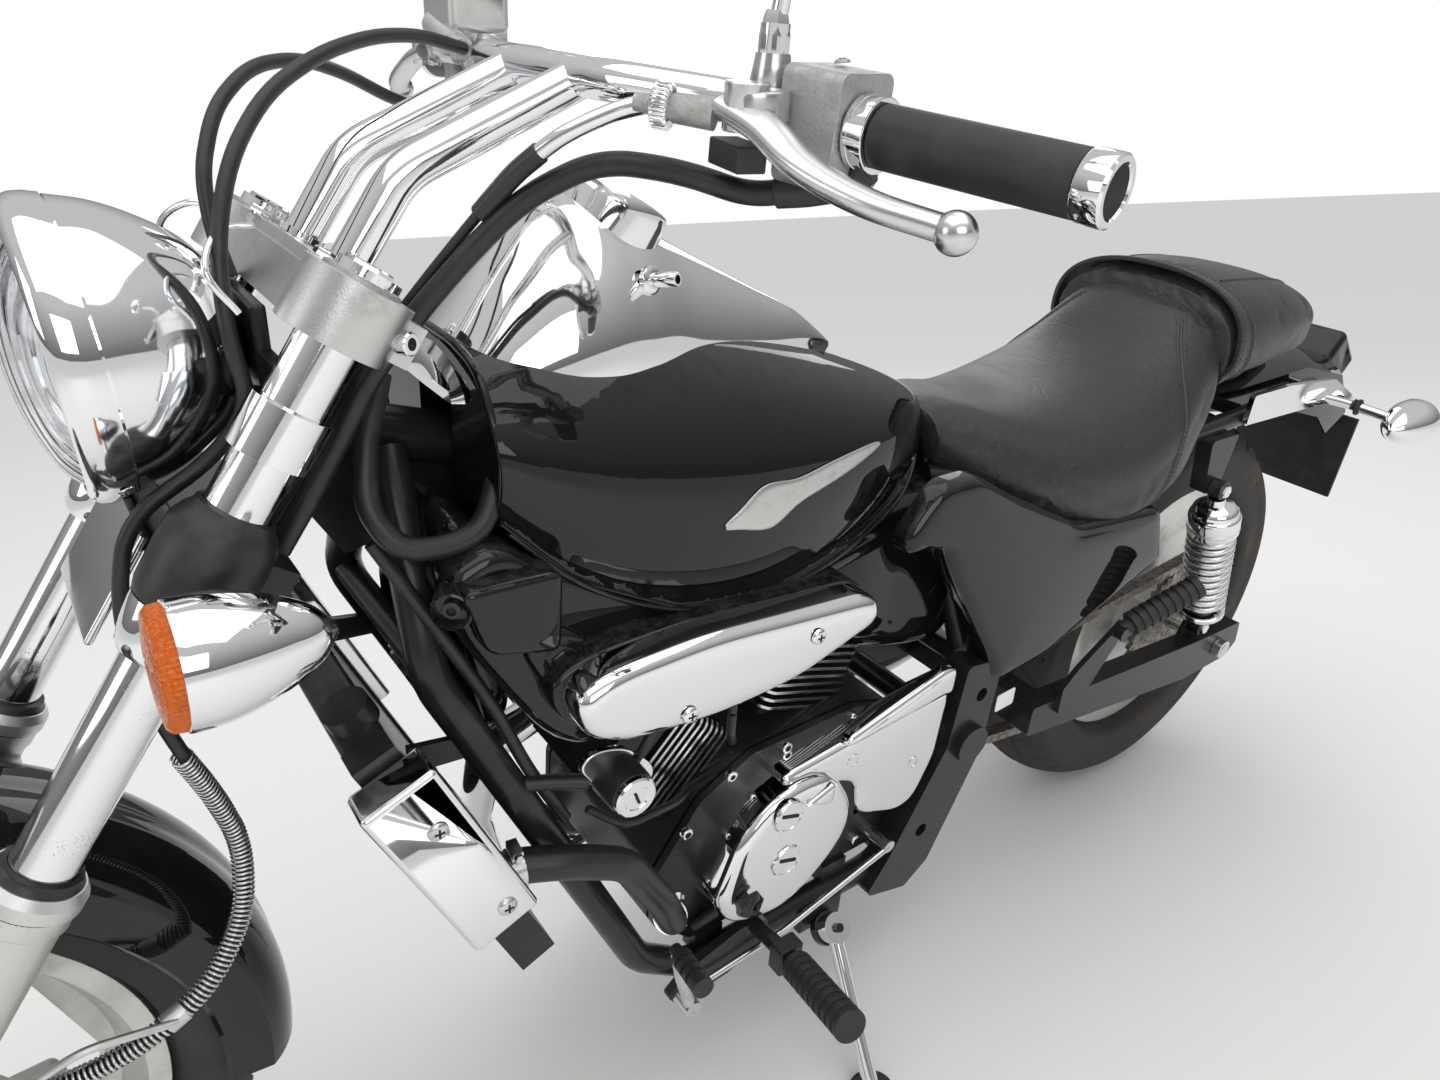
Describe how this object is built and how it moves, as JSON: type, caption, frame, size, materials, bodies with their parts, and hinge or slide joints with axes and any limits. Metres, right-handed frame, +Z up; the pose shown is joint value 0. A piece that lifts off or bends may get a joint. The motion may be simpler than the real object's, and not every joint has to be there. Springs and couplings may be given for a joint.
{
  "type": "motorcycle",
  "caption": "Long, low cruiser motorcycle leaning on its side stand, with a raked fork, chrome headlamp, teardrop tank, finned engine, two mufflers and a stepped seat.",
  "frame": {"origin": "middle of the outline on the ground, as it stands parked on its side stand", "axes": "+X towards the front wheel, +Y to the left where the side stand is, +Z up"},
  "size_m": [2.332, 0.875, 1.2788],
  "materials": {
    "black_plastic": "satin moulded black",
    "chrome": "bright plated",
    "black_rubber": "matt black",
    "black_metal": "satin black paint",
    "chain_steel": "oily steel",
    "polished_steel": "polished",
    "frame_paint": "gloss black paint",
    "tank_paint": "deep gloss black",
    "cast_alloy": "cast, lightly brushed",
    "seat_leather": "matt black",
    "red_lens": "clear red",
    "clear_lens": "clear domed",
    "wheel_paint": "silver paint",
    "tyre": "dusty tread"
  },
  "bodies": {
    "chassis": {"airbox": "black_plastic", "airbox_trims": "chrome", "coolant_hose": "black_rubber", "crankcase": "black_metal", "drive_chain": "chain_steel", "engine_covers": "chrome", "exhaust": "chrome", "fender_struts": "chrome", "foot_controls": "polished_steel", "foot_pegs": "black_rubber", "frame": "frame_paint", "front_cylinder": "black_metal", "fuel_tank": "tank_paint", "ignition_lock": "chrome", "peg_hangers": "cast_alloy", "pillion_seat": "seat_leather", "plate_bracket": "black_plastic", "radiator": "black_metal", "radiator_guards": "chrome", "rear_axle": "polished_steel", "rear_cylinder": "black_metal", "rear_fender": "tank_paint", "rear_indicators": "chrome", "rider_seat": "seat_leather", "seat_strap": "seat_leather", "shock_absorbers": "chrome", "side_covers": "tank_paint", "swing_arm": "frame_paint", "tail_lamp": "red_lens", "tank_console": "chrome"},
    "steering_group": {"brake_caliper": "cast_alloy", "brake_hose": "black_rubber", "brake_reservoir": "cast_alloy", "clutch_cable": "black_rubber", "fork_sliders": "cast_alloy", "fork_tubes": "chrome", "front_axle": "polished_steel", "front_fender": "tank_paint", "front_indicators": "chrome", "grips": "black_rubber", "handlebar": "chrome", "headlamp_lens": "clear_lens", "headlamp_shell": "chrome", "lamp_bracket": "frame_paint", "levers": "polished_steel", "lower_clamp": "frame_paint", "mirrors": "chrome", "switch_harness": "black_rubber", "switch_housings": "cast_alloy", "throttle_cables": "black_rubber", "top_clamp": "cast_alloy"},
    "front_wheel_group": {"front_wheel": "wheel_paint", "front_tyre": "tyre", "brake_disc": "polished_steel"},
    "rear_wheel_group": {"rear_wheel": "wheel_paint", "rear_tyre": "tyre", "rear_sprocket": "chain_steel"},
    "stand_group": {"side_stand": "chrome"}
  },
  "joints": [
    {"name": "steering", "type": "hinge", "parent": "chassis", "child": "steering_group", "pos_m": [0.47335, -0.01955, 0.77641], "axis": [-0.5592, 0.1582, 0.8138], "range_deg": [-38, 38]},
    {"name": "front_wheel_spin", "type": "hinge", "parent": "steering_group", "child": "front_wheel_group", "pos_m": [0.862, -0.11223, 0.29963], "axis": [0, 0.9816, -0.1908], "continuous": true},
    {"name": "rear_wheel_spin", "type": "hinge", "parent": "chassis", "child": "rear_wheel_group", "pos_m": [-0.738, -0.111, 0.30596], "axis": [0, 0.9816, -0.1908], "continuous": true},
    {"name": "side_stand", "type": "hinge", "parent": "chassis", "child": "stand_group", "pos_m": [-0.005, 0.02483, 0.13999], "axis": [0, 0.829, 0.5592], "range_deg": [0, 92]}
  ]
}
